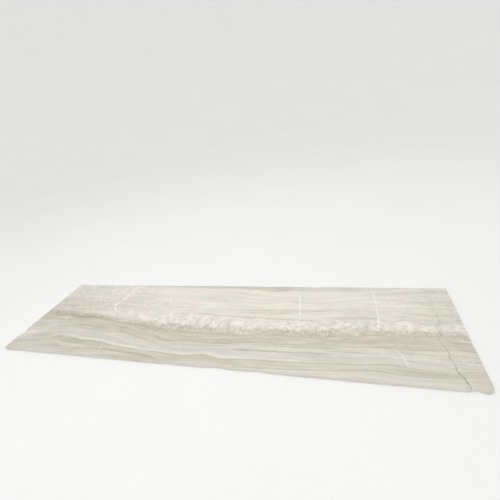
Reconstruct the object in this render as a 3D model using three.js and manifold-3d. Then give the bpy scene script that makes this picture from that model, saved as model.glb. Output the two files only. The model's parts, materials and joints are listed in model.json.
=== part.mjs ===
// A gang-sawn slab of banded marble, lying flat with its polished face up.
// Millimetres, +Z up. The origin is the middle of the underside; the long side runs along X.
import * as THREE from "three";
import { mergeVertices } from "three/addons/utils/BufferGeometryUtils.js";
import Module from "manifold-3d";

// Driving dimensions
const LENGTH = 2900;
const WIDTH = 810;
const THICKNESS = 20;

// Corners, as radii: the two front ones are worn round, the back ones are still square
const CORNER = { frontLeft: 20, frontRight: 30, backRight: 3, backLeft: 3 };
const ARC_STEPS = 8;

// A sawn side wanders inward from the squared line by up to DRIFT and never passes it
const DRIFT = 2.4;
const DRIFT_WAVES = [
  { share: 0.6, length: 1320 },
  { share: 0.4, length: 410 },
];
const DRIFT_FADE = 140; // the squared line is met again over this distance from each corner
const SIDE_STEP = 29;

// Shallow bites where a side has crumbled back: middle and half length along the side, and depth
const BITES = {
  front: [
    { at: 150, half: 78, depth: 7 },
    { at: 385, half: 64, depth: 6 },
    { at: 1378, half: 40, depth: 11 },
  ],
  right: [],
  back: [{ at: 610, half: 90, depth: 4 }],
  left: [{ at: -249, half: 62, depth: 9 }],
};

// Chips knocked out of the arrises: place along the side, half length, reach into the slab, height of the break
const CHIPS = [
  { side: "front", face: "top", at: 928, half: 86, reach: 14, drop: 8 },
  { side: "front", face: "top", at: 1350, half: 13, reach: 10, drop: 8 },
  { side: "front", face: "top", at: 236, half: 24, reach: 6, drop: 7 },
  { side: "front", face: "top", at: -585, half: 17, reach: 5, drop: 5 },
  { side: "front", face: "top", at: -1122, half: 12, reach: 5, drop: 4 },
  { side: "front", face: "bottom", at: 640, half: 42, reach: 8, drop: 7 },
  { side: "front", face: "bottom", at: -905, half: 31, reach: 7, drop: 6 },
  { side: "right", face: "top", at: -118, half: 20, reach: 6, drop: 6 },
  { side: "right", face: "bottom", at: 205, half: 44, reach: 9, drop: 8 },
  { side: "back", face: "top", at: -905, half: 23, reach: 6, drop: 5 },
  { side: "back", face: "top", at: 318, half: 16, reach: 5, drop: 5 },
  { side: "back", face: "bottom", at: -140, half: 52, reach: 8, drop: 7 },
  { side: "left", face: "top", at: -238, half: 27, reach: 7, drop: 6 },
  { side: "left", face: "bottom", at: 170, half: 34, reach: 8, drop: 7 },
];
const CHIP_SKEW = 0.06; // radians that a break turns away from the line of its side
const LONG_CHIP = 40; // from this half length on, a break has finer facets

const halfLength = LENGTH / 2;
const halfWidth = WIDTH / 2;

// Each side: where its squared line starts, the way it runs, the way into the slab, and its length.
// The sides follow one another counterclockwise, seen from above.
const SIDES = [
  { name: "front", start: [-halfLength, -halfWidth], along: [1, 0], inward: [0, 1], length: LENGTH },
  { name: "right", start: [halfLength, -halfWidth], along: [0, 1], inward: [-1, 0], length: WIDTH },
  { name: "back", start: [halfLength, halfWidth], along: [-1, 0], inward: [0, -1], length: LENGTH },
  { name: "left", start: [-halfLength, halfWidth], along: [0, -1], inward: [1, 0], length: WIDTH },
];
const CORNER_BEFORE = { front: "frontLeft", right: "frontRight", back: "backRight", left: "backLeft" };

// Distance from a side's start to the place that a bite or chip gives as X or Y
function distanceOf(side, place) {
  const [sx, sy] = side.start;
  const [ax, ay] = side.along;
  return (place - sx) * ax + (place - sy) * ay;
}

function driftAt(side, distance) {
  const ends = Math.min(distance, side.length - distance);
  const fade = Math.min(1, ends / DRIFT_FADE);
  const phase = SIDES.indexOf(side);
  let wave = 0;
  for (const { share, length } of DRIFT_WAVES) {
    wave += share * Math.sin((2 * Math.PI * distance) / length + phase * (1 + share));
  }
  return (DRIFT * fade * (1 + wave)) / 2;
}

function biteAt(side, distance) {
  let depth = 0;
  for (const bite of BITES[side.name]) {
    const away = Math.abs(distance - distanceOf(side, bite.at)) / bite.half;
    if (away < 1) depth += bite.depth * Math.cos((away * Math.PI) / 2) ** 2;
  }
  return depth;
}

function pointOn(side, distance, inset) {
  const [sx, sy] = side.start;
  const [ax, ay] = side.along;
  const [ix, iy] = side.inward;
  return new THREE.Vector2(sx + ax * distance + ix * inset, sy + ay * distance + iy * inset);
}

// Rounded corner between the side before it and the side that starts at it
function cornerPoints(side, radius) {
  const middle = pointOn(side, radius, radius);
  const [ix, iy] = side.inward;
  const [ax, ay] = side.along;
  const points = [];
  for (let i = 0; i <= ARC_STEPS; i++) {
    const turn = (i / ARC_STEPS) * (Math.PI / 2);
    const back = radius * Math.cos(turn);
    const out = radius * Math.sin(turn);
    points.push(new THREE.Vector2(middle.x - ax * back - ix * out, middle.y - ay * back - iy * out));
  }
  return points;
}

function slabOutline() {
  const points = [];
  SIDES.forEach((side, index) => {
    const next = SIDES[(index + 1) % SIDES.length];
    const startRadius = CORNER[CORNER_BEFORE[side.name]];
    const endRadius = CORNER[CORNER_BEFORE[next.name]];
    points.push(...cornerPoints(side, startRadius));
    const run = side.length - startRadius - endRadius;
    const steps = Math.round(run / SIDE_STEP);
    for (let i = 1; i < steps; i++) {
      const distance = startRadius + (run * i) / steps;
      points.push(pointOn(side, distance, driftAt(side, distance) + biteAt(side, distance)));
    }
  });
  return new THREE.Shape(points);
}

function chipGeometry(chip) {
  const side = SIDES.find(({ name }) => name === chip.side);
  const distance = distanceOf(side, chip.at);
  const inset = driftAt(side, distance) + biteAt(side, distance);
  const { x, y } = pointOn(side, distance, inset);
  const geometry = new THREE.IcosahedronGeometry(1, chip.half >= LONG_CHIP ? 3 : 2);
  geometry.rotateX(chip.half); // no two breaks show the same facets
  geometry.scale(chip.half, chip.reach, chip.drop);
  geometry.rotateZ(Math.atan2(side.along[1], side.along[0]) + CHIP_SKEW);
  geometry.translate(x, y, chip.face === "top" ? THICKNESS : 0);
  return geometry;
}

const wasm = await Module();
wasm.setup();

function solidOf(geometry) {
  geometry.deleteAttribute("normal");
  geometry.deleteAttribute("uv");
  const merged = mergeVertices(geometry);
  const vertProperties = new Float32Array(merged.attributes.position.array);
  const triVerts = new Uint32Array(merged.index.array);
  return new wasm.Manifold(new wasm.Mesh({ numProp: 3, vertProperties, triVerts }));
}

function geometryOf(solid) {
  const { numProp, vertProperties, triVerts } = solid.getMesh();
  const geometry = new THREE.BufferGeometry();
  geometry.setAttribute("position", new THREE.BufferAttribute(vertProperties, numProp));
  geometry.setIndex(new THREE.BufferAttribute(triVerts, 1));
  geometry.computeVertexNormals();
  return geometry;
}

function makeSlab() {
  const sawn = new THREE.ExtrudeGeometry(slabOutline(), { depth: THICKNESS, bevelEnabled: false });
  const chipped = CHIPS.reduce((stone, chip) => stone.subtract(solidOf(chipGeometry(chip))), solidOf(sawn));
  const marble = new THREE.MeshStandardMaterial({ color: 0xcfc9ba, roughness: 0.25, metalness: 0 });
  const slab = new THREE.Mesh(geometryOf(chipped), marble);
  slab.name = "slab";
  return slab;
}

const marbleSlab = new THREE.Group();
marbleSlab.add(makeSlab());

export default marbleSlab;
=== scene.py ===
"""A long thin slab of banded marble: polished face up, raw sawn sides, chipped arrises, sawn back.

Metres, +Z up. The slab lies on the floor of a plain pale bowl under soft light.
"""

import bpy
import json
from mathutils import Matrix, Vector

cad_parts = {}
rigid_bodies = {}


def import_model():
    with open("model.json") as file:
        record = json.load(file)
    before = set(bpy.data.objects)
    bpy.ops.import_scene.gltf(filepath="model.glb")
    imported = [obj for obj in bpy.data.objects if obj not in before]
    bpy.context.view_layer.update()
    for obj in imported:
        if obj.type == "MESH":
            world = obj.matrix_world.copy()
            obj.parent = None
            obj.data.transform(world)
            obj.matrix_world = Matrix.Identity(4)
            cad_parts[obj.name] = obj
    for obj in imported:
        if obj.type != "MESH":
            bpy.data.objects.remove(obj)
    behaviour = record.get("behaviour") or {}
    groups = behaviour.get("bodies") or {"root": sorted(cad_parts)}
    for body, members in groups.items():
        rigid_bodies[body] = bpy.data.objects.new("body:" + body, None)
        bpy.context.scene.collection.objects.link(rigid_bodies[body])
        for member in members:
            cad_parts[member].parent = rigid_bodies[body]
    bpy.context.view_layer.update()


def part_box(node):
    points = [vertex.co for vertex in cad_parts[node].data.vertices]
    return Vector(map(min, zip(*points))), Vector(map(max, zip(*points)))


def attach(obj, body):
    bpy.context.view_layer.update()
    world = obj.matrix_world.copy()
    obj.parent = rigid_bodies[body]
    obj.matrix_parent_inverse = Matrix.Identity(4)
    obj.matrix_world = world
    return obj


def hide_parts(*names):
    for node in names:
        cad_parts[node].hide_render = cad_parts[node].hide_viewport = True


bl_info = {
    "name": "Marble Slab",
    "version": (1, 0, 0),
    "blender": (4, 5, 0),
    "location": "3D View > Sidebar > Marble Slab",
    "description": "Makes a banded marble slab with a polished face and raw sawn sides",
    "category": "Add Mesh",
}

import json
import math
import random
from functools import partialmethod
from itertools import pairwise
from types import SimpleNamespace

import bmesh
import bpy
from bpy.props import FloatProperty, FloatVectorProperty, PointerProperty
from bpy.types import Operator, Panel, PropertyGroup
from mathutils import Euler, Matrix, Vector, noise

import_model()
SLAB_LOW, SLAB_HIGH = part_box("slab")
MM = 0.001

# ---- shape of the slab, as the solid has it

# Millimetres. Bites where a side has crumbled back: middle, half length, depth
BITES = {
    "front": [(150, 78, 7), (385, 64, 6), (1378, 40, 11)],
    "right": [],
    "back": [(610, 90, 4)],
    "left": [(-249, 62, 9)],
}

# Millimetres. Breaks in the arrises: place, half length, reach into the slab, height
CHIPS = {
    "front": {
        "top": [(928, 86, 14, 8), (1350, 13, 10, 8), (236, 24, 6, 7), (-585, 17, 5, 5), (-1122, 12, 5, 4)],
        "bottom": [(640, 42, 8, 7), (-905, 31, 7, 6)],
    },
    "right": {"top": [(-118, 20, 6, 6)], "bottom": [(205, 44, 9, 8)]},
    "back": {"top": [(-905, 23, 6, 5), (318, 16, 5, 5)], "bottom": [(-140, 52, 8, 7)]},
    "left": {"top": [(-238, 27, 7, 6)], "bottom": [(170, 34, 8, 7)]},
}
CHIP_SKEW = 0.06  # radians that a break turns away from its side
FLAKE_LENGTH = 11 * MM  # half length of a flake of a long break
FLAKE_SPREAD = 0.86  # share of a break that holds its flakes' middles
FLAKE_TURN = 0.2  # radians that a flake may turn away from its break

DRIFT_WAVES = [(0.6, 1320 * MM), (0.4, 410 * MM)]  # share and length of each wave of a side
DRIFT_FADE = 140 * MM  # distance from a corner over which a side drifts in
ARC_STEP = 2.4 * MM
FEWEST_ARC_STEPS = 6

RIM = 24 * MM  # width of the finely meshed border of the two faces
INNER_RIM = 90 * MM
RIM_RATIO = 10  # stations of the border to one vertex of the inner rim
BEVEL_TURNS = (0, 30, 60, 90)  # degrees turned over an arris
SIDE_RINGS = 8
BACK_ARRIS = 1.5  # width of the sawn back's arris to the polished face's
NICKS = 260  # small knocks along each pair of arrises
NICK_BITE = (0.5, 2.2)  # depth of a knock, in widths of the arris
ROUGH_FOOT = 9 * MM  # a side is rougher below this height
SLIVER = 0.02 * MM  # edges shorter than this are dissolved
CLOSE_TRIES = 8
SHARP_TURN = 28  # degrees between faces from which an edge stays sharp

# ---- beds of the block

# Shares and courses are in thousandths. Along runs from left to right, across from back to front.
# Lines that part the beds, by the course that each of them holds: place across at places along
GUIDES = {
    50: {0: -20, 100: -10, 200: 20, 300: 20, 450: 45, 550: 55, 627: 83, 660: 67, 760: 55, 850: 45, 900: 30,
        940: 0, 1000: -20},
    200: {0: 130, 250: 145, 306: 155, 353: 172, 412: 189, 478: 200, 550: 222, 628: 244, 658: 217, 720: 239,
        760: 217, 820: 180, 1000: 190},
    345: {0: 300, 200: 320, 340: 345, 550: 355, 770: 335, 1000: 340},
    440: {0: 420, 100: 420, 275: 400, 314: 406, 345: 439, 360: 450, 390: 430, 460: 417, 510: 435, 600: 450,
        735: 455, 780: 435, 840: 430, 870: 447, 905: 417, 937: 467, 951: 465, 975: 452, 1000: 455},
    560: {0: 450, 100: 470, 200: 515, 250: 540, 300: 555, 350: 565, 420: 575, 500: 585, 600: 575, 700: 570,
        780: 540, 860: 530, 1000: 530},
    600: {0: 500, 30: 467, 50: 489, 85: 483, 105: 506, 120: 522, 180: 529, 210: 552, 250: 588, 330: 600,
        370: 622, 420: 650, 510: 660, 590: 660, 627: 644, 745: 639, 774: 617, 811: 611, 833: 589, 863: 589,
        900: 611, 920: 589, 952: 567, 985: 589, 1000: 600},
    700: {0: 620, 100: 620, 150: 600, 250: 620, 300: 652, 350: 710, 387: 762, 425: 787, 460: 780, 560: 772,
        590: 745, 627: 733, 700: 715, 760: 705, 800: 690, 850: 675, 900: 670, 1000: 680},
    810: {0: 790, 60: 760, 127: 710, 200: 730, 300: 780, 350: 820, 450: 860, 553: 820, 650: 806, 750: 797,
        833: 800, 852: 789, 893: 806, 958: 828, 1000: 830},
    880: {0: 890, 60: 860, 100: 825, 114: 797, 124: 793, 170: 818, 200: 832, 245: 833, 275: 858, 306: 875,
        353: 893, 400: 904, 478: 917, 510: 894, 553: 920, 600: 908, 720: 897, 760: 883, 833: 867, 852: 856,
        893: 872, 920: 880, 1000: 880},
    940: {0: 970, 100: 930, 130: 930, 160: 950, 270: 925, 330: 933, 380: 944, 430: 972, 510: 945, 590: 972,
        660: 967, 745: 947, 840: 917, 870: 928, 1000: 920},
}

# Beds: colour name, patchiness (0 even, 1 broken), course where the bed starts and ends, softness of
# its edges, then for a bed that ends along the slab: from, to and how slowly it fades there
BEDS = [
    ("grey_green", 0.3, 660, 800, 20),
    ("blue_grey", 0.2, 800, 876, 12, 150, 1000, 50),
    ("olive", 0.7, 815, 870, 20, 40, 180, 30),
    ("brown", 0.95, 800, 880, 20, 60, 110, 20),
    ("olive", 0.45, 884, 955, 6),
    ("brown", 0.7, 878, 980, 10, 420, 580, 40),
    ("top_grey", 0.2, 962, 2000, 10),
    ("brown", 0.5, 935, 1030, 12, 270, 420, 30),
    ("brown", 0.8, 660, 745, 30, 340, 1000, 100),
    ("brown", 0.3, 640, 780, 35, 130, 360, 50),
    ("brown", 0.6, 545, 610, 20, 0, 320, 60),
    # This bed darkens the left end across the middle courses.
    ("brown", 0.9, 300, 600, 50, 0, 220, 200),
    ("brown", 0.25, 600, 690, 14),
    ("brown", 0.85, 565, 602, 10, 300, 1000, 100),
    ("dark", 0.75, 610, 648, 12, 50, 390, 50),
    ("olive", 0.2, 620, 700, 20, 955, 1000, 8),
    ("olive", 0.6, 612, 640, 8, 540, 620, 20),
    ("grey_green", 0.5, 20, 450, 30, 915, 1000, 50),
    ("crystal", 0.35, 463, 564, 20, 50, 1000, 350),
    # Band along the back edge: partly the stone's own brown band, partly painted contact shadow from a
    # neighbouring slab.
    ("foot", 0.5, -1000, 46, 20, 0, 840, 200),
]

# Thin seams by colour: course, half width in mm, from and to along the slab, strength
SEAMS = {
    "dark": [
        (962, 7, 150, 300, 0.35), (948, 7, 580, 880, 0.6), (942, 14, 250, 420, 0.55),
        (920, 36, 850, 975, 0.28), (912, 5, 260, 420, 0.5), (908, 15, 100, 280, 0.45),
        (889, 7, 80, 290, 0.7), (886, 7, 270, 1100, 0.68), (860, 22, 957, 1100, 0.12),
        (855, 5, 170, 350, 0.6), (830, 5, 220, 320, 0.5), (825, 5, 870, 950, 0.6), (825, 34, 170, 260, 0.2),
        (820, 6, 560, 770, 0.75), (795, 5, 950, 1100, 0.7), (790, 6, 740, 840, 0.6),
        (790, 18, 130, 280, 0.4), (762, 7, 260, 370, 0.6), (757, 7, 620, 790, 0.65),
        (735, 6, 760, 930, 0.5), (695, 7, 330, 670, 0.45), (690, 30, 80, 170, 0.25),
        (675, 22, 957, 1100, 0.32), (612, 6, 400, 1100, 0.65), (452, 9, 385, 760, 0.6),
        (448, 6, 620, 840, 0.4), (448, 6, 860, 1100, 0.7), (435, 12, 740, 880, 0.4),
        (425, 30, 765, 865, 0.35), (385, 10, 530, 680, 0.5), (380, 55, 760, 880, 0.13),
        (360, 70, 200, 310, 0.16), (360, 60, 350, 470, 0.1), (353, 9, 290, 770, 0.4),
        (205, 7, 640, 930, 0.4), (190, 140, -100, 330, 0.08), (52, 6, 300, 920, 0.5),
    ],
    "cream": [
        (869, 8, 120, 720, 0.75), (790, 8, 610, 730, 0.5), (722, 8, 570, 690, 0.6), (656, 9, 705, 742, 1.0),
        (645, 8, 955, 1100, 1.0), (641, 8, 752, 790, 1.0), (627, 5, 785, 850, 0.7),
        (412, 12, 340, 630, 0.35), (235, 10, 770, 900, 0.9), (210, 20, 140, 215, 0.9),
        (83, 11, 530, 800, 0.95),
    ],
}
LINE_FADE = 30  # a vein or a long seam comes and goes over this

# Grain by zone: size along and across the beds in mm, lean in degrees, how far it moves the tone
GRAINS = {
    "all": [(190, 110, 0, 0.12), (26, 20, 12, 0.08), (2.2, 2.2, 0, 0.08)],
    "front": [(480, 30, 0, 0.4), (260, 12, 0, 0.3), (85, 11, 0, 0.2)],
    "middle": [(130, 17, 0, 0.6)],
    "back": [(620, 46, 0, 0.38), (300, 13, 0, 0.42), (60, 12, 0, 0.2)],
    "crystal": [(30, 27, 0, 0.64), (14, 14, 0, 0.46), (60, 55, 0, 0.42)],
    "fringe": [(15, 22, 0, 0.6), (40, 18, 0, 0.45)],
    "left": [(60, 24, -38, 0.55), (26, 9, 30, 0.3), (11, 9, 0, 0.22)],
    "right": [(13, 15, 0, 0.4)],
}

# Veins of white calcite: place along at places across, half width in mm, strength
VEINS = [
    ({0: 213.4, 80: 211.7, 140: 210}, 13, 0.75),
    ({80: 211.7, 140: 210, 200: 207.5, 260: 208.9, 300: 205}, 16, 1.0),
    ({280: 202, 330: 198.5, 370: 198.5, 400: 205.5, 440: 215, 465: 219}, 12, 1.0),
    ({80: 680, 95: 681, 216: 688, 377: 692.5, 420: 692.5}, 9, 0.95),
    ({380: 692.5, 530: 692.5}, 7, 0.45),
    ({30: 846.5, 190: 851.3}, 8, 0.5),
    ({150: 850, 196: 851.5, 275: 851.7}, 8, 0.95),
    ({270: 851.7, 317: 851.8, 417: 852.7, 440: 852.2}, 8, 0.75),
    ({400: 852.7, 480: 851, 560: 847.5}, 11, 1.0),
    ({705: 865.5, 752: 878.5, 800: 882.8}, 8, 0.65),
    ({770: 880.5, 820: 885, 885: 889}, 8, 0.5),
    ({200: 347, 240: 350, 320: 362}, 12, 0.75),
    ({310: 362, 360: 377.5, 430: 389.5}, 9, 0.8),
    ({320: 319, 440: 326.6}, 6, 0.4),
    ({830: 259.5, 960: 269}, 6, 0.5),
    ({840: 959.5, 890: 958.8}, 4, 0.6),
    ({860: 614, 910: 614}, 3, 0.5),
    ({760: 995, 830: 979}, 4, 0.5),
    ({11: 982, 89: 988, 156: 997}, 4, 0.5),
]

# The fissure: place along at places across
FISSURE = {
    20: 955, 114: 956.6, 250: 958.5, 370: 961, 410: 960.5, 460: 956.6, 485: 952.6, 530: 954.7, 565: 955,
    585: 950.5, 600: 948.7, 645: 952, 680: 955, 720: 956.6, 765: 954.8, 782: 954.2, 800: 958, 875: 959,
    910: 963.7, 955: 967, 990: 968.4,
}
FISSURE_SLIP = 0.014  # share of the width that the beds slip at the fissure


def shade(*levels):
    """A display colour, 0 to 255 each, as the linear colour that Blender keeps."""
    parts = [level / 255 for level in levels]
    return (*(part / 12.92 if part <= 0.04045 else ((part + 0.055) / 1.055) ** 2.4 for part in parts), 1.0)


def tint(name, description, *levels):
    return FloatVectorProperty(
        name=name, description=description, default=shade(*levels), size=4, subtype="COLOR", min=0, max=1
    )


def measure(name, description, default):
    return FloatProperty(name=name, description=description, default=default, unit="LENGTH", min=0)


class SlabSizes(PropertyGroup):
    """Sizes of the slab, with the solid's own as defaults."""

    length: measure("Length", "Along X", SLAB_HIGH.x - SLAB_LOW.x)
    width: measure("Width", "Along Y", SLAB_HIGH.y - SLAB_LOW.y)
    thickness: measure("Thickness", "Height of the polished face", SLAB_HIGH.z)
    corner_radii: FloatVectorProperty(
        name="Corner radii", description="Front left, front right, back right, back left",
        default=(20 * MM, 30 * MM, 3 * MM, 3 * MM), size=4, unit="LENGTH", min=0,
    )
    drift: measure("Drift", "Most that a sawn side wanders in", 2.4 * MM)
    arris: measure("Arris", "Usual width of the edge of the polished face", 0.7 * MM)
    step: measure("Step", "Distance between two stations round the slab", 2.6 * MM)
    saw_relief: measure("Saw relief", "Depth of the unevenness of a sawn side", 0.45 * MM)


class MarbleColours(PropertyGroup):
    """Colours of the beds, the seams and the finishes."""

    ground: tint("Ground", "Warm ground of the back half", 233, 228, 217)
    grey_green: tint("Grey green", "Beds in front of the brown band", 214, 211, 198)
    blue_grey: tint("Blue grey", "Pale beds behind the olive band", 218, 215, 204)
    olive: tint("Olive", "Olive band near the front", 205, 203, 187)
    top_grey: tint("Front grey", "Beds along the front side", 218, 213, 201)
    brown: tint("Brown", "Band in front of the crystal band", 206, 199, 183)
    crystal: tint("Crystal", "Coarse pinkish white band", 234, 228, 219)
    # Brown of the back band, which also serves as painted contact shadow along the back edge.
    foot: tint("Foot", "Brown band along the back side", 207, 200, 184)
    dark: tint("Dark seam", "Thin clay seams", 172, 164, 141)
    cream: tint("Cream seam", "Thin pale seams", 238, 234, 223)
    calcite: tint("Calcite", "Veins that cross the beds", 252, 249, 241)
    fissure: tint("Fissure", "Closed crack near the right end", 150, 142, 121)
    dust: tint("Saw dust", "Dry bloom on the sawn faces", 230, 228, 223)
    fresh: tint("Fresh break", "Sugary stone in the breaks", 234, 231, 223)


class StageSettings(PropertyGroup):
    """The floor and the light around the slab."""

    floor: tint("Floor", "Colour of the floor and the wall behind", 250, 250, 249)
    sky: FloatProperty(name="Sky", description="Strength of the even light from above", default=0.81, min=0)
    softbox: FloatProperty(name="Softbox", description="Power of the lamp", default=44, min=0, unit="POWER")


# ---- outline of the slab


class Side:
    """One sawn side: its squared line's start, the way it runs and the way into the slab."""

    def __init__(self, name, index, start, along, length, drift):
        self.name = name
        self.index = index
        self.start = Vector(start)
        self.along = Vector(along)
        self.inward = Vector((-along[1], along[0]))
        self.length = length
        self.drift = drift

    def distance_of(self, place):
        """Distance from the side's start to a place given as X or Y."""
        return (Vector((place, place)) - self.start).dot(self.along)

    def inset(self, distance):
        """How far the sawn side stands in from its squared line."""
        fade = min(1, min(distance, self.length - distance) / DRIFT_FADE)
        wave = sum(
            share * math.sin(math.tau * distance / length + self.index * (1 + share))
            for share, length in DRIFT_WAVES
        )
        depth = self.drift * fade * (1 + wave) / 2
        for at, half, bite in BITES[self.name]:
            away = abs(distance - self.distance_of(at * MM)) / (half * MM)
            if away < 1:
                depth += bite * MM * math.cos(away * math.pi / 2) ** 2
        return depth

    def point(self, distance, inset):
        return self.start + self.along * distance + self.inward * inset


def slab_sides(sizes):
    """The four sides, counterclockwise from above."""
    x, y = sizes.length / 2, sizes.width / 2
    corners = [(-x, -y), (x, -y), (x, y), (-x, y)]
    ways = [(1, 0), (0, 1), (-1, 0), (0, -1)]
    lengths = [sizes.length, sizes.width] * 2
    return [Side(*row, sizes.drift) for row in zip(BITES, range(4), corners, ways, lengths)]


def corner_arc(side, radius):
    """Points round the corner at the start of a side."""
    middle = side.point(radius, radius)
    steps = max(FEWEST_ARC_STEPS, round(radius * math.pi / 2 / ARC_STEP))
    for i in range(steps + 1):
        turn = math.pi / 2 * i / steps
        yield middle - side.along * radius * math.cos(turn) - side.inward * radius * math.sin(turn)


def slab_outline(sizes):
    """Stations round the slab, counterclockwise from above."""
    radii = list(sizes.corner_radii)
    stations = []
    for side, radius, next_radius in zip(slab_sides(sizes), radii, radii[1:] + radii[:1]):
        stations.extend(corner_arc(side, radius))
        run = side.length - radius - next_radius
        steps = round(run / sizes.step)
        for i in range(1, steps):
            distance = radius + run * i / steps
            stations.append(side.point(distance, side.inset(distance)))
    return stations


def outward_normals(stations):
    normals = []
    for before, after in zip(stations[-1:] + stations[:-1], stations[1:] + stations[:1]):
        run = (after - before).normalized()
        normals.append(Vector((run.y, -run.x)))
    return normals


def lumps(place, along, upward, seed=0):
    """A place as noise reads it: lumps to a metre along and upward."""
    return Vector((place.x * along, place.y * along, place.z * upward + seed))


def knocked_widths(stations, usual, seed):
    """Width of a crushed arris at every station: uneven, with small knocks."""
    draw = random.Random(seed)
    count = len(stations)
    widths = []
    for station in stations:
        place = station.to_3d()
        waver = noise.noise(lumps(place, 90, 0, seed))
        swell = noise.noise(lumps(place, 11, 0, seed + 5))
        widths.append(usual * (1 + 0.45 * waver + 0.35 * swell))
    for _ in range(NICKS):
        middle = draw.randrange(count)
        half = draw.choice((1, 1, 2, 2, 3))
        bite = usual * draw.uniform(*NICK_BITE)
        for step in range(-half, half + 1):
            widths[(middle + step) % count] += bite * (1 - (step / (half + 1)) ** 2)
    return widths


# ---- mesh of the slab

POLISHED, SIDE, BACK, BROKEN = range(4)


def side_hollow(place, depth):
    """How far a sawn side lies in: saw wander, torn patches and a rougher lower half."""
    wander = noise.noise(lumps(place, 14, 60))
    torn = noise.fractal(lumps(place, 130, 170), 0.6, 2.1, 3)
    lump = noise.noise(lumps(place, 45, 90, 7))
    low = 1 - min(1, place.z / ROUGH_FOOT)
    hollow = 0.32 + 0.22 * wander + 0.24 * torn + low * (0.5 + 0.9 * lump)
    return depth * min(2, max(0, hollow))


def side_profile(top, bottom, thickness):
    """(inset, height, share of the side's unevenness) from the polished face down to the back."""
    angles = [math.radians(turn) for turn in BEVEL_TURNS]
    bends = [(1 - math.sin(angle), 1 - math.cos(angle), math.sin(angle)) for angle in angles]
    high = thickness - top
    upper = [(top * inset, thickness - top * drop, share) for inset, drop, share in bends]
    between = [(0, high + (bottom - high) * i / SIDE_RINGS, 1) for i in range(1, SIDE_RINGS)]
    lower = [(bottom * inset, bottom * rise, share) for inset, rise, share in reversed(bends)]
    return upper + between + lower


def ring_inside(mesh, stations, sizes, margin, height):
    """Vertices at the stations, held in by a margin from all four sides."""
    x = sizes.length / 2 - margin
    y = sizes.width / 2 - margin
    return [mesh.verts.new((min(x, max(-x, p.x)), min(y, max(-y, p.y)), height)) for p in stations]


def lay_face(mesh, sizes, stations, ring, height, finish):
    """Closes one face inward from a ring: fine border, coarser border, middle."""
    count = len(stations)
    fine = ring_inside(mesh, stations, sizes, RIM, height)
    coarse = ring_inside(mesh, stations[::RIM_RATIO], sizes, INNER_RIM, height)
    faces = [(ring[i - 1], ring[i], fine[i], fine[i - 1]) for i in (*range(1, count), 0)]
    for c, corner in enumerate(coarse):
        first = c * RIM_RATIO
        last = min(first + RIM_RATIO, count)
        turn = (first + last) // 2
        following = coarse[(c + 1) % len(coarse)]
        for i in range(first, last):
            faces.append((fine[i], fine[(i + 1) % count], corner if i < turn else following))
        faces.append((fine[turn % count], following, corner))
    for face in (*faces, coarse):
        mesh.faces.new(face).material_index = finish


def sawn_slab_mesh(sizes):
    """The slab with uneven sides and crushed arrises, before it is chipped."""
    stations = slab_outline(sizes)
    tops = knocked_widths(stations, sizes.arris, seed=11)
    bottoms = knocked_widths(stations, sizes.arris * BACK_ARRIS, seed=23)
    mesh = bmesh.new()
    columns = []
    for place, normal, top, bottom in zip(stations, outward_normals(stations), tops, bottoms):
        column = []
        for inset, height, unevenness in side_profile(top, bottom, sizes.thickness):
            hollow = unevenness * side_hollow(Vector((*place, height)), sizes.saw_relief)
            column.append(mesh.verts.new((*(place - normal * (inset + hollow)), height)))
        columns.append(column)
    for near, far in pairwise(columns + columns[:1]):
        for (a, b), (d, c) in zip(pairwise(near), pairwise(far)):
            mesh.faces.new((a, b, c, d)).material_index = SIDE
    lay_face(mesh, sizes, stations, [column[0] for column in columns], sizes.thickness, POLISHED)
    lay_face(mesh, sizes, stations, [column[-1] for column in columns], 0, BACK)
    bmesh.ops.remove_doubles(mesh, verts=mesh.verts, dist=1e-6)
    bmesh.ops.recalc_face_normals(mesh, faces=mesh.faces)
    return mesh


def flakes_of(side, level, chip, draw):
    """The flakes that a break is made of: middle, radii and turn of each."""
    place, half, reach, drop = (value * MM for value in chip)
    count = max(1, round(half / FLAKE_LENGTH))
    heading = math.atan2(side.along.y, side.along.x) + CHIP_SKEW
    for i in range(count):
        share = (i + 0.5) / count * 2 - 1
        distance = side.distance_of(place) + share * half * FLAKE_SPREAD
        middle = Vector((*side.point(distance, side.inset(distance)), level))
        length, fullness, turn = half, 1, heading
        if count > 1:
            fullness = math.sqrt(1 - share**2 * 0.8) * draw.uniform(0.72, 1)
            length = FLAKE_LENGTH * draw.uniform(1.2, 1.9)
            turn += draw.uniform(-FLAKE_TURN, FLAKE_TURN)
        yield middle, Vector((length, reach * fullness, drop * fullness)), turn


def flake_mesh(middle, radii, turn, seed):
    """One shell-shaped flake with faint ribs and a torn surface."""
    mesh = bmesh.new()
    bmesh.ops.create_icosphere(mesh, subdivisions=4 if radii.x > 9 * MM else 3, radius=1)
    spin = Euler((0, 0, turn)).to_matrix()
    for vert in mesh.verts:
        shell = vert.co.normalized() * radii
        lump = noise.noise(shell * 160 + Vector((seed, 0, 0)))
        torn = noise.fractal(shell * 520 + Vector((0, seed, 0)), 0.7, 2.0, 3)
        rib = math.sin(shell.length * 2600)
        shell *= 0.93 + 0.09 * lump + 0.05 * torn + 0.012 * rib
        vert.co = spin @ shell + middle
    for face in mesh.faces:
        face.material_index = BROKEN
    return mesh


def link_object(name, data):
    thing = bpy.data.objects.new(name, data)
    bpy.context.scene.collection.objects.link(thing)
    return thing


def link_mesh(mesh, name, materials):
    """Turns a bmesh into an object of the scene."""
    data = bpy.data.meshes.new(name)
    mesh.to_mesh(data)
    mesh.free()
    for material in materials:
        data.materials.append(material)
    return link_object(name, data)


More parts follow.
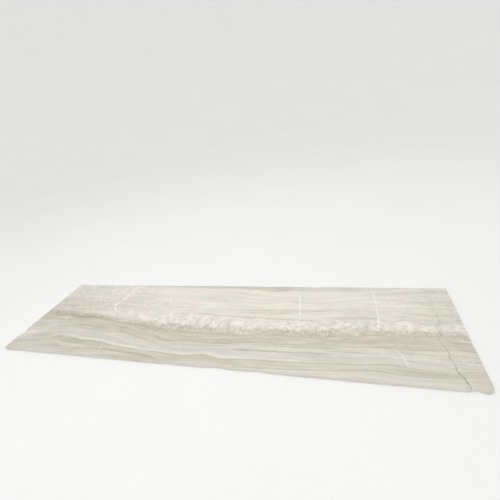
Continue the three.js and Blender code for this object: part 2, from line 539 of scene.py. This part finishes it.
def boolean(piece, other, operation):
    """Joins another piece to this one or takes it away, and drops the other."""
    cut = piece.modifiers.new("Cut", "BOOLEAN")
    cut.operation = operation
    cut.solver = "MANIFOLD"
    cut.object = other
    view = bpy.context.evaluated_depsgraph_get()
    data = bpy.data.meshes.new_from_object(piece.evaluated_get(view))
    piece.modifiers.clear()
    used = piece.data, other.data
    piece.data = data
    bpy.data.objects.remove(other)
    bpy.data.batch_remove(used)


def break_arrises(slab, sizes):
    """Knocks every break out of the slab, flake by flake."""
    draw = random.Random(4)
    materials = list(slab.data.materials)
    breaks = [(side, *broken) for side in slab_sides(sizes) for broken in CHIPS[side.name].items()]
    chips = [(side, face, chip) for side, face, rows in breaks for chip in rows]
    for number, (side, face, chip) in enumerate(chips):
        level = sizes.thickness if face == "top" else 0
        whole = None
        for part, flake in enumerate(flakes_of(side, level, chip, draw)):
            piece = link_mesh(flake_mesh(*flake, seed=number * 17 + part), "flake", materials)
            if whole is None:
                whole = piece
            else:
                boolean(whole, piece, "UNION")
        boolean(slab, whole, "DIFFERENCE")


def drop_crumbs(mesh):
    """Drops any splinter that a break left loose."""
    unseen = set(mesh.verts)
    bodies = []
    while unseen:
        body = [unseen.pop()]
        for vert in body:
            beside = {edge.other_vert(vert) for edge in vert.link_edges} & unseen
            unseen -= beside
            body.extend(beside)
        bodies.append(body)
    for crumb in sorted(bodies, key=len)[:-1]:
        bmesh.ops.delete(mesh, geom=crumb, context="VERTS")


def close_edges(mesh):
    """Closes every edge that doesn't join two faces, and returns how many there were."""
    odd = [edge for edge in mesh.edges if len(edge.link_faces) != 2]
    for edge in odd:
        if edge.is_valid:
            bmesh.ops.pointmerge(mesh, verts=list(edge.verts), merge_co=edge.verts[0].co)
    bmesh.ops.dissolve_degenerate(mesh, dist=1e-7, edges=mesh.edges)
    bmesh.ops.triangulate(mesh, faces=[face for face in mesh.faces if len(face.verts) > 3])
    return len(odd)


# The map that a bake goes through: the polished face in two halves, one above the other, then a column with
# the back, and strips with the sides. All are shares of the map's width.
MAP_GAP = 0.004
MAP_HALF = 0.88
MAP_BACK = 0.06
MAP_STRIP = 0.0155
STRIP_FILL = 0.88  # share of a strip's width that is used
END_FILL = 0.45  # share of a strip's length that holds one end of the slab
STRIP_REACH = 14 * MM  # how far in from a side a break may lie on its strip


def map_place(face, point, sizes):
    """Where a point of a face lies on the map."""
    half_length, half_width = sizes.length / 2, sizes.width / 2
    tall = 1 - 2 * MAP_GAP
    column = MAP_HALF + 2 * MAP_GAP
    middle = face.calc_center_median()
    if face.material_index == POLISHED:
        scale = min(MAP_HALF / half_length, (0.5 - 2 * MAP_GAP) / sizes.width)
        right = middle.x > 0
        x = point.x if right else point.x + half_length
        return MAP_GAP + x * scale, MAP_GAP + (point.y + half_width) * scale + (0.5 if right else 0)
    along = point.x / sizes.length + 0.5
    if face.material_index == BACK:
        return column + (point.y / sizes.width + 0.5) * MAP_BACK, MAP_GAP + along * tall
    at_end = half_length - abs(middle.x) < half_width - abs(middle.y)
    inset = half_length - abs(point.x) if at_end else half_width - abs(point.y)
    down = sizes.thickness - point.z + (-inset if middle.z > sizes.thickness / 2 else inset)
    across = min(1, max(0, (down + STRIP_REACH) / (sizes.thickness + 2 * STRIP_REACH)))
    strip = 1 if middle.y > 0 else 0
    if at_end:
        strip = 2
        along = (point.y / sizes.width + 0.5) * END_FILL + (0.5 if middle.x > 0 else 0)
    start = column + MAP_BACK + MAP_GAP + strip * MAP_STRIP
    return start + across * STRIP_FILL * MAP_STRIP, MAP_GAP + along * tall


def lay_bake_map(mesh, sizes):
    """Lays the map that a bake goes through. No shader reads it."""
    layer = mesh.loops.layers.uv.new("OFBake")
    for face in mesh.faces:
        for loop in face.loops:
            loop[layer].uv = map_place(face, loop.vert.co, sizes)


def tidy_surface(slab, sizes):
    """Makes one closed body of triangles, cut at the middle for its map."""
    mesh = bmesh.new()
    mesh.from_mesh(slab.data)
    everything = mesh.verts[:] + mesh.edges[:] + mesh.faces[:]
    bmesh.ops.bisect_plane(mesh, geom=everything, dist=SLIVER / 2, plane_co=(0, 0, 0), plane_no=(1, 0, 0))
    bmesh.ops.dissolve_degenerate(mesh, dist=SLIVER, edges=mesh.edges)
    bmesh.ops.triangulate(mesh, faces=mesh.faces)
    drop_crumbs(mesh)
    if not any(close_edges(mesh) == 0 for _ in range(CLOSE_TRIES)):
        raise RuntimeError("the slab has edges that don't join two faces")
    lay_bake_map(mesh, sizes)
    mesh.to_mesh(slab.data)
    mesh.free()
    slab.data.shade_smooth()
    slab.data.set_sharp_from_angle(angle=math.radians(SHARP_TURN))


# ---- laying shader nodes

SMOOTH = "SMOOTHSTEP"


class Signal:
    """What a node's socket gives out. Its arithmetic and methods lay nodes."""

    def __init__(self, socket):
        self.socket = socket

    def math(self, operation, *terms):
        return lay("Math", dict(enumerate((self, *terms))), operation=operation)

    __add__ = partialmethod(math, "ADD")
    __sub__ = partialmethod(math, "SUBTRACT")
    __mul__ = partialmethod(math, "MULTIPLY")
    __truediv__ = partialmethod(math, "DIVIDE")
    __abs__ = partialmethod(math, "ABSOLUTE")

    def vector(self, operation, other, output=0):
        return lay("VectorMath", {0: self, 1: other}, output, operation=operation)

    def parts(self, kind):
        """The three parts of a vector (XYZ) or colour (Color)."""
        return map(Signal, lay("Separate" + kind, {0: self}).socket.node.outputs)

    def span(self, low, high, to_low=0, to_high=1, way="LINEAR"):
        """The value's place between two others, held inside them."""
        ends = {"From Min": low, "From Max": high, "To Min": to_low, "To Max": to_high}
        return lay("MapRange", {"Value": self, **ends}, interpolation_type=way)

    def window(self, low, high, soft):
        """1 between low and high, 0 outside, with a soft step at each."""
        rise = self.span(low - soft, low + soft, way=SMOOTH)
        return rise * self.span(high - soft, high + soft, 1, 0, SMOOTH)

    def sized(self, along, across, lean=0):
        """A place in lengths of a feature, which is in mm and may lean away from X."""
        turn = {"Rotation": (0, 0, lean), "Scale": (along * MM, across * MM, across * MM)}
        return lay("Mapping", {"Vector": self, **turn}, vector_type="TEXTURE")

    def cloud(self, along, across=None, lean=0, detail=2, rough=0.5, output=0):
        """Noise with features of a given size in mm; 0 to 1, mostly 0.3 to 0.7."""
        place = self.sized(along, across or along, lean)
        return lay("TexNoise", {"Vector": place, "Scale": 1, "Detail": detail, "Roughness": rough}, output)

    def shift(self, size, reach):
        """A vector that wanders about nought by up to about half of reach, in mm."""
        return scaled(self.cloud(size, output="Color").vector("SUBTRACT", (0.5, 0.5, 0.5)), reach * MM)

    def curve(self, points):
        """A smooth line through values at readings, in thousandths."""
        line = lay("FloatCurve", {"Value": self})
        mapping = line.socket.node.mapping
        mapping.use_clip = False
        knots = mapping.curves[0].points
        while len(knots) < len(points):
            knots.new(0.5, 0.5)
        for knot, (reading, value) in zip(knots, sorted(points.items())):
            knot.location = (reading / 1000, value / 1000)
        mapping.update()
        return line


def feed(sockets, values):
    """Links signals to sockets by name or number, or sets the sockets' own values."""
    for key, value in values.items():
        if isinstance(value, Signal):
            value.socket.id_data.links.new(value.socket, sockets[key])
        else:
            sockets[key].default_value = value


def lay(kind, inputs, output=0, **settings):
    """Lays a node in the tree of its inputs' signals and returns one of its outputs."""
    tree = next(value.socket.id_data for value in inputs.values() if isinstance(value, Signal))
    node = tree.nodes.new("ShaderNode" + kind)
    for name, value in settings.items():
        setattr(node, name, value)
    feed(node.inputs, inputs)
    return Signal(node.outputs[output])


def scaled(vector, amount):
    return lay("VectorMath", {"Vector": vector, "Scale": amount}, operation="SCALE")


def mix(amount, first, second):
    """The first colour turned to the second. Inputs 6 and 7 and output 2 are the colours."""
    return lay("Mix", {0: amount, 6: first, 7: second}, 2, data_type="RGBA")


def socket_name(name):
    return name.replace("_", " ").capitalize()


def named(values):
    """Values by the names of their sockets: flat_place is Flat place."""
    return {socket_name(name): value for name, value in values.items()}


def signals_of(sockets):
    """The signals of sockets by their plain names."""
    names = [socket.name.lower().replace(" ", "_") for socket in sockets]
    return SimpleNamespace(**dict(zip(names, map(Signal, sockets))))


def use(group, **inputs):
    """Places a shader group and returns what it gives out."""
    return signals_of(lay("Group", named(inputs), node_tree=group).socket.node.outputs)


class Group:
    """A new shader group. Its sockets are values, but for those marked :Vector or :Color."""

    def __init__(self, name, inputs, outputs):
        self.tree = bpy.data.node_groups.new(name, "ShaderNodeTree")
        for way, labels in (("INPUT", inputs), ("OUTPUT", outputs)):
            for label in labels.split():
                label, _, kind = label.partition(":")
                kind = "NodeSocket" + (kind or "Float")
                self.tree.interface.new_socket(socket_name(label), in_out=way, socket_type=kind)
        self.given = signals_of(self.tree.nodes.new("NodeGroupInput").outputs)

    def give(self, **signals):
        """Closes the group with what it gives out."""
        feed(self.tree.nodes.new("NodeGroupOutput").inputs, named(signals))
        return self.tree


# ---- shader groups of the stone


def seam_group():
    """A thin line: 1 on its course, 0 past its width, between two places along it."""
    group = Group("Seam", "reading course width along start end fade breaks strength", "mask")
    given = group.given
    near = abs(given.reading - given.course).span(0, given.width, 1, 0, SMOOTH)
    starts = (given.along - given.start).span(0, given.fade)
    ends = (given.end - given.along).span(0, given.fade)
    return group.give(mask=near * (starts * ends) * given.breaks * given.strength)


def courses_group(sizes):
    """Turns a place in the block into the shares along and across it and the course it lies on."""
    group = Group("Courses", "place:Vector", "along across course flat_place:Vector fissure")
    place = group.given.place
    wander = place.shift(130, 6).vector("ADD", place.shift(22, 5))
    x, y, z = place.vector("ADD", wander).parts("XYZ")
    true_x, true_y, _ = place.parts("XYZ")
    along, true_along = (value.math("MULTIPLY_ADD", 1 / sizes.length, 0.5) for value in (x, true_x))
    across, true_across = (value.math("MULTIPLY_ADD", -1 / sizes.width, 0.5) for value in (y, true_y))

    crack = true_along - true_across.curve(FISSURE)
    past = crack.math("GREATER_THAN", 0)
    across = past.math("MULTIPLY_ADD", FISSURE_SLIP, across)

    levels = [level / 1000 for level in GUIDES]
    lines = [along.curve(points) for points in GUIDES.values()]
    behind = (across - lines[0]).math("MINIMUM", 0)
    ahead = (across - lines[-1]).math("MAXIMUM", 0)
    course = behind + ahead + levels[0]
    for (near, far), (near_line, far_line) in zip(pairwise(levels), pairwise(lines)):
        course += across.span(near_line, far_line, 0, far - near)
    flat = lay("CombineXYZ", {"X": x, "Y": course * sizes.width, "Z": z})
    return group.give(
        along=true_along, across=true_across, course=course, flat_place=flat, fissure=crack * sizes.length
    )


STONE_COLOURS = [name for name in MarbleColours.__annotations__ if name not in {"dust", "fresh"}]
COOL_TINT = (0.972, 1, 0.984, 1)
WARM_TINT = (1.024, 0.996, 0.998, 1)
RAGGED_BEDS = (0.4, 0.69)  # beds that start between these courses have a ragged edge


def lay_beds(given, beds, ragged, patches):
    """The colour of the beds, each a little patchy."""
    colour = given.ground
    for name, patchy, *reaches in BEDS:
        low, high, soft, *stretch = (reach / 1000 for reach in reaches)
        reading = ragged if RAGGED_BEDS[0] < low < RAGGED_BEDS[1] else beds.course
        amount = reading.window(low, high, soft) * patches.span(0.36, 0.6, 1 - patchy, 1)
        if stretch:
            start, end, fade = stretch
            if start > 0:
                amount *= beds.along.span(start - fade, start + fade)
            if end < 1:
                amount *= beds.along.span(end + fade, end - fade)
        colour = mix(amount, colour, getattr(given, name))
    return colour


def lay_grain(place, beds, zones):
    """The tone of the grained stone, and the last grain of every zone."""
    tone = beds.along.span(0, 0.3, 0.925, 1)
    grains = {}
    for zone, rows in GRAINS.items():
        origin = place if zone in {"all", "left"} else beds.flat_place
        for length, height, lean, reach in rows:
            grain = origin.cloud(length, height, math.radians(lean), detail=3, rough=0.58)
            grain = (grain - 0.5) * reach
            if zone in zones:
                grain *= zones[zone]
            grains[zone] = grain
            tone += grain
    return tone, grains


def lay_line(seam, amount, start, end, fade, half_width, **inputs):
    """The amount, raised to that of one more seam or vein."""
    shares = {"start": start / 1000, "end": end / 1000, "fade": fade / 1000}
    return use(seam, width=half_width * MM, **shares, **inputs).mask.math("MAXIMUM", amount)


def lay_seams(seam, place, beds, sizes):
    """How much clay and cream the seams lay, broken and ragged."""
    ragged = place.cloud(12, detail=3, rough=0.6) - 0.5
    common = {
        "reading": ragged.math("MULTIPLY_ADD", 9 * MM, beds.course * sizes.width), "along": beds.along,
        "breaks": beds.flat_place.cloud(160, 20, detail=3).span(0.36, 0.56, 0.35, 1),
    }
    amounts = dict.fromkeys(SEAMS, 0)
    for colour, rows in SEAMS.items():
        for level, half_width, start, end, strength in rows:
            course = level / 1000 * sizes.width
            fade = min(LINE_FADE, (end - start) / 4)
            line = {"course": course, "strength": strength, **common}
            amounts[colour] = lay_line(seam, amounts[colour], start, end, fade, half_width, **line)
    return amounts


def lay_veins(seam, place, beds, sizes, reading):
    """How much calcite the veins lay."""
    breaks = place.cloud(30).span(0.34, 0.5, 0.45, 1)
    common = {"reading": reading, "along": beds.across, "breaks": breaks}
    veins = 0
    for points, half_width, strength in VEINS:
        course = beds.across.curve(points) * sizes.length
        line = {"course": course, "strength": strength, **common}
        veins = lay_line(seam, veins, min(points), max(points), LINE_FADE, half_width, **line)
    return veins


def lay_fissure(place, beds, jitter):
    """The fissure: thin at the back, wider and more open at the front."""
    width = beds.across.span(0.3, 1, 2.6 * MM, 6.5 * MM)
    line = abs(beds.fissure + jitter).span(0, width, 1, 0, SMOOTH)
    breaks = place.cloud(24).span(0.36, 0.56, 0.35, 0.95)
    return line * (breaks * beds.across.span(0.82, 0.9, 0.68, 1))


def crystal_rims(flat, zone):
    """Clay between crystals: scalloped rims round cells, stronger in places."""
    bent = flat.vector("ADD", flat.shift(14, 6)).sized(29, 24)
    cells = lay("TexVoronoi", {"Vector": bent, "Scale": 1}, "Distance", feature="DISTANCE_TO_EDGE")
    strong = flat.cloud(60, 20).span(0.38, 0.6, 0.15, 1)
    return cells.span(0.02, 0.34, 0.42, 0, SMOOTH) * strong * zone


def corner_stain(beds, patches):
    """Rusty handling stain on the two corners that stand out."""
    ends = beds.along.span(0.955, 1).math("MAXIMUM", beds.along.span(0.045, 0.008))
    return beds.across.span(0.8, 0.94) * ends * patches.span(0.3, 0.6, 0.5, 1)


def marble_group(sizes, courses, seam):
    """The stone itself: beds, seams, crystal grain, veins and the fissure."""
    inputs = " ".join(name + ":Color" for name in STONE_COLOURS)
    group = Group("Banded marble", "place:Vector " + inputs, "colour:Color grain crystal open")
    given = group.given
    place = given.place
    beds = use(courses, place=place)
    along, course, flat = beds.along, beds.course, beds.flat_place

    feather = flat.cloud(24, 17, detail=4, rough=0.68)
    ragged = (feather - 0.5).math("MULTIPLY_ADD", 0.12, course)
    patches = flat.cloud(460, 26, detail=4, rough=0.6)
    colour = lay_beds(given, beds, ragged, patches)

    fringe = ragged.window(0.56, 0.62, 0.014)
    zones = {
        "front": course.span(0.6, 0.7) * along.span(0.45, 0.15, 1, 1.3),
        "middle": course.window(0.63, 0.79, 0.02),
        "back": course.span(0.47, 0.4) * along.span(0.12, 0.36, 0.3, 1),
        "crystal": ragged.window(0.455, 0.57, 0.014) * along.span(0, 0.4, 0.4, 1),
        "fringe": fringe * along.span(0.2, 0.45, 1.35, 0.8),
        "left": along.span(0.46, 0.16) * course.span(0.62, 0.46, 0.25, 1),
        "right": along.span(0.74, 0.86) * course.span(0.5, 0.44),
    }
    tone, grains = lay_grain(place, beds, zones)
    warmth = flat.cloud(190, 34, detail=4).span(0.38, 0.62)
    colour = scaled(colour, tone).vector("MULTIPLY", mix(warmth, COOL_TINT, WARM_TINT))

    # Seams, and crumbs of calcite along the clay seam
    amounts = lay_seams(seam, place, beds, sizes)
    crumb_zone = ragged.window(0.565, 0.645, 0.015) * along.span(0.14, 0.42)
    crumbs = flat.cloud(8, 7, rough=0.6).span(0.56, 0.68, 0, 0.85) * crumb_zone
    colour = mix(amounts["dark"], colour, given.dark)
    colour = mix(amounts["cream"].math("MAXIMUM", crumbs), colour, given.cream)
    colour = mix(crystal_rims(flat, fringe), colour, given.dark)
    colour = mix(corner_stain(beds, patches), colour, given.brown)

    # What crosses the beds
    jitter = (place.cloud(22, detail=4, rough=0.62) - 0.5) * (18 * MM)
    veins = lay_veins(seam, place, beds, sizes, along * sizes.length + jitter)
    crack = lay_fissure(place, beds, jitter)
    colour = mix(crack, mix(veins, colour, given.calcite), given.fissure)
    return group.give(
        colour=colour, grain=grains["all"] + grains["crystal"], crystal=zones["crystal"], open=crack
    )


def polish_group():
    """What the polisher leaves: gloss, duller on coarse crystal, with pits along the fissure."""
    group = Group("Polish", "place:Vector grain crystal open", "roughness height")
    given = group.given
    smear = given.place.cloud(240, 60, lean=0.5, detail=3).span(0.3, 0.7, 0.2, 0.3)
    rough = smear + given.crystal * 0.06 + given.open * 0.3 + given.grain * 0.06
    return group.give(roughness=rough, height=given.grain * 0.02 - given.open)


def sawn_group():
    """A dry sawn face: bloom of dust over the stone, kerf lines and torn grain."""
    inputs = "place:Vector run pitch colour:Color dust:Color cover grain"
    group = Group("Sawn face", inputs, "colour:Color roughness height")
    given = group.given
    place = given.place
    kerf = given.run / given.pitch + place.cloud(60, detail=3) * 3
    uneven = place.cloud(45, detail=3, rough=0.6).span(0.4, 0.62)
    ridge = (kerf * math.tau).math("SINE") * uneven
    torn = place.cloud(1.6, detail=4, rough=0.7)
    bloom = place.cloud(34, 12, detail=4, rough=0.62).span(0.35, 0.62, 0.6, 1.15)
    tone = torn.span(0.3, 0.7, 0.93, 1.05) + ridge * 0.028
    return group.give(
        colour=scaled(mix(given.cover * bloom, given.colour, given.dust), tone),
        roughness=torn.span(0.3, 0.7, 0.78, 0.95),
        height=ridge.math("MULTIPLY_ADD", 0.5, torn + given.grain),
    )


def break_group():
    """A fresh break: sugary grains that catch the light one by one."""
    group = Group("Broken face", "place:Vector colour:Color fresh:Color", "colour:Color roughness height")
    given = group.given
    cells = lay("TexVoronoi", {"Vector": given.place.sized(2.2, 1.6), "Scale": 1}, "Color")
    light, dull, high = cells.parts("Color")
    sugar = given.place.cloud(1.1, detail=3, rough=0.7)
    tone = light.math("MULTIPLY_ADD", 0.1, 0.9) + sugar.span(0.3, 0.7, -0.05, 0.05)
    return group.give(
        colour=scaled(mix(0.62, given.colour, given.fresh), tone),
        roughness=dull.math("MULTIPLY_ADD", 0.4, 0.45),
        height=high.math("MULTIPLY_ADD", 0.7, sugar),
    )


# ---- materials


def stone_kit(sizes):
    """The groups that the finishes share."""
    marble = marble_group(sizes, courses_group(sizes), seam_group())
    return SimpleNamespace(marble=marble, polish=polish_group(), sawn=sawn_group(), broken=break_group())


def new_material(name):
    """A material and the place on its object."""
    material = bpy.data.materials.new(name)
    material.use_nodes = True
    return material, Signal(material.node_tree.nodes.new("ShaderNodeTexCoord").outputs["Object"])


def feed_shader(material, inputs):
    feed(material.node_tree.nodes["Principled BSDF"].inputs, inputs)
    return material


def stone_material(name, kit, colours):
    """A material with the stone laid in it: (material, place, what the stone gives out)."""
    material, place = new_material(name)
    tints = {name: tuple(getattr(colours, name)) for name in STONE_COLOURS}
    return material, place, use(kit.marble, place=place, **tints)


def finish_stone(material, colour, finish, ior, relief, specular=0.5):
    """Feeds a stone's shader from one of the finishes."""
    normal = lay("Bump", {"Height": finish.height, "Distance": relief, "Strength": 1})
    inputs = {"Base Color": colour, "Roughness": finish.roughness, "IOR": ior, "Normal": normal}
    return feed_shader(material, {**inputs, "Specular IOR Level": specular})


def polished_face(kit, colours):
    material, place, stone = stone_material("Polished marble face", kit, colours)
    finish = use(kit.polish, place=place, grain=stone.grain, crystal=stone.crystal, open=stone.open)
    return finish_stone(material, stone.colour, finish, ior=1.52, relief=0.25 * MM)


def sawn_face(kit, colours, name, run_of, pitch, cover):
    """A dry sawn face whose kerf lines are counted along run_of."""
    material, place, stone = stone_material(name, kit, colours)
    finish = use(
        kit.sawn, place=place, run=place.vector("DOT_PRODUCT", run_of, "Value"), pitch=pitch,
        colour=stone.colour, dust=tuple(colours.dust), cover=cover, grain=stone.grain,
    )
    return finish_stone(material, finish.colour, finish, ior=1.5, relief=0.35 * MM, specular=0.3)


def broken_face(kit, colours):
    material, place, stone = stone_material("Broken marble arris", kit, colours)
    finish = use(kit.broken, place=place, colour=stone.colour, fresh=tuple(colours.fresh))
    return finish_stone(material, finish.colour, finish, ior=1.5, relief=0.5 * MM)


def slab_materials(sizes, colours):
    """The finishes in the order of POLISHED, SIDE, BACK, BROKEN."""
    kit = stone_kit(sizes)
    return [
        polished_face(kit, colours),
        sawn_face(kit, colours, "Sawn marble side", run_of=(1, 1, 0.4), pitch=7 * MM, cover=0.7),
        sawn_face(kit, colours, "Sawn marble back", run_of=(0.05, 1, 0), pitch=9 * MM, cover=0.55),
        broken_face(kit, colours),
    ]


class SLAB_OT_make_slab(Operator):
    """Make the slab: sawn shape, breaks along the arrises and the finish of every face"""

    bl_idname = "marble.make_slab"
    bl_label = "Make slab"

    def execute(self, context):
        sizes = context.scene.slab_sizes
        materials = slab_materials(sizes, context.scene.marble_colours)
        slab = link_mesh(sawn_slab_mesh(sizes), "marble_slab", materials)
        break_arrises(slab, sizes)
        tidy_surface(slab, sizes)
        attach(slab, "root")
        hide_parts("slab")
        return {"FINISHED"}


# ---- stage

BOWL_FLOOR = 7.0  # radius of the flat floor
BOWL_CURVE = 9.0  # radius of the curve up into the wall
FLOOR_RINGS = 4
WALL_RINGS = 12
BOWL_TURNS = 96

LAMP_SIZE = 4.5
LAMP_PLACE = (-0.2, -0.6, 4.2)
LAMP_AIM = Vector((0.05, 0.15, -1))

CAMERA_PLACE = (0.838, -1.600, 1.331)
CAMERA_FORWARD = Vector((-0.3056, 0.8438, -0.4412))
CAMERA_UP = Vector((0.0195, 0.4688, 0.8831))
CAMERA_LENS = 23.44
CAMERA_FILM = 36
CAMERA_SHIFT = (0.02, 0.012)


def stage_bowl():
    """A round floor that curves up into a wall."""
    profile = [(BOWL_FLOOR * i / FLOOR_RINGS, 0) for i in range(1, FLOOR_RINGS)]
    for i in range(WALL_RINGS + 1):
        turn = math.pi / 2 * i / WALL_RINGS
        profile.append((BOWL_FLOOR + BOWL_CURVE * math.sin(turn), BOWL_CURVE * (1 - math.cos(turn))))
    mesh = bmesh.new()
    centre = mesh.verts.new((0, 0, 0))
    turns = [math.tau * i / BOWL_TURNS for i in range(BOWL_TURNS)]
    rings = [
        [mesh.verts.new((radius * math.cos(turn), radius * math.sin(turn), height)) for turn in turns]
        for radius, height in profile
    ]
    for a, b in pairwise(rings[0] + rings[0][:1]):
        mesh.faces.new((centre, a, b))
    for inner, outer in pairwise(rings):
        for (a, b), (d, c) in zip(pairwise(inner + inner[:1]), pairwise(outer + outer[:1])):
            mesh.faces.new((a, d, c, b))
    return mesh


def floor_material(settings):
    material, place = new_material("Pale floor")
    tone = place.cloud(600, detail=3).span(0.3, 0.7, 0.99, 1.01)
    colour = scaled(tuple(settings.floor)[:3], tone)
    return feed_shader(material, {"Base Color": colour, "Roughness": 0.9, "Specular IOR Level": 0.1})


def light_sky(scene, settings):
    world = bpy.data.worlds.new("Even sky")
    world.use_nodes = True
    feed(world.node_tree.nodes["Background"].inputs, {"Color": (1, 1, 1, 1), "Strength": settings.sky})
    scene.world = world


def hang_softbox(settings):
    lamp = bpy.data.lights.new("Softbox", "AREA")
    lamp.shape = "DISK"
    lamp.size = LAMP_SIZE
    lamp.energy = settings.softbox
    light = link_object("Softbox", lamp)
    light.location = LAMP_PLACE
    light.rotation_euler = LAMP_AIM.to_track_quat("-Z", "Y").to_euler()


def place_camera(scene):
    lens = bpy.data.cameras.new("Camera")
    lens.lens = CAMERA_LENS
    lens.sensor_width = CAMERA_FILM
    lens.shift_x, lens.shift_y = CAMERA_SHIFT
    right = CAMERA_FORWARD.cross(CAMERA_UP)
    turn = Matrix((right, CAMERA_UP, -CAMERA_FORWARD)).transposed()
    scene.camera = link_object("Camera", lens)
    scene.camera.matrix_world = Matrix.Translation(CAMERA_PLACE) @ turn.to_4x4()


class SLAB_OT_set_stage(Operator):
    """Set the pale floor, the soft light and the camera"""

    bl_idname = "marble.set_stage"
    bl_label = "Set stage"

    def execute(self, context):
        scene = context.scene
        settings = scene.stage_settings
        bowl = link_mesh(stage_bowl(), "floor", [floor_material(settings)])
        bowl.data.shade_smooth()
        light_sky(scene, settings)
        hang_softbox(settings)
        place_camera(scene)
        scene.view_settings.view_transform = "Standard"
        return {"FINISHED"}


class SLAB_PT_panel(Panel):
    """Marble slab sidebar"""

    bl_label = "Marble Slab"
    bl_idname = "SLAB_PT_panel"
    bl_space_type = "VIEW_3D"
    bl_region_type = "UI"
    bl_category = "Marble Slab"

    def draw(self, context):
        layout = self.layout
        for owner, kind in SETTINGS.items():
            box = layout.box()
            for name in kind.__annotations__:
                box.prop(getattr(context.scene, owner), name)
        for operator in OPERATORS:
            layout.operator(operator.bl_idname)


SETTINGS = {"slab_sizes": SlabSizes, "marble_colours": MarbleColours, "stage_settings": StageSettings}
OPERATORS = (SLAB_OT_make_slab, SLAB_OT_set_stage)
CLASSES = (*SETTINGS.values(), *OPERATORS, SLAB_PT_panel)


def register():
    for cls in CLASSES:
        bpy.utils.register_class(cls)
    for owner, kind in SETTINGS.items():
        setattr(bpy.types.Scene, owner, PointerProperty(type=kind))


def unregister():
    for owner in SETTINGS:
        delattr(bpy.types.Scene, owner)
    for cls in reversed(CLASSES):
        bpy.utils.unregister_class(cls)


def main():
    register()
    bpy.ops.marble.set_stage()
    bpy.ops.marble.make_slab()


if __name__ == "__main__":
    main()
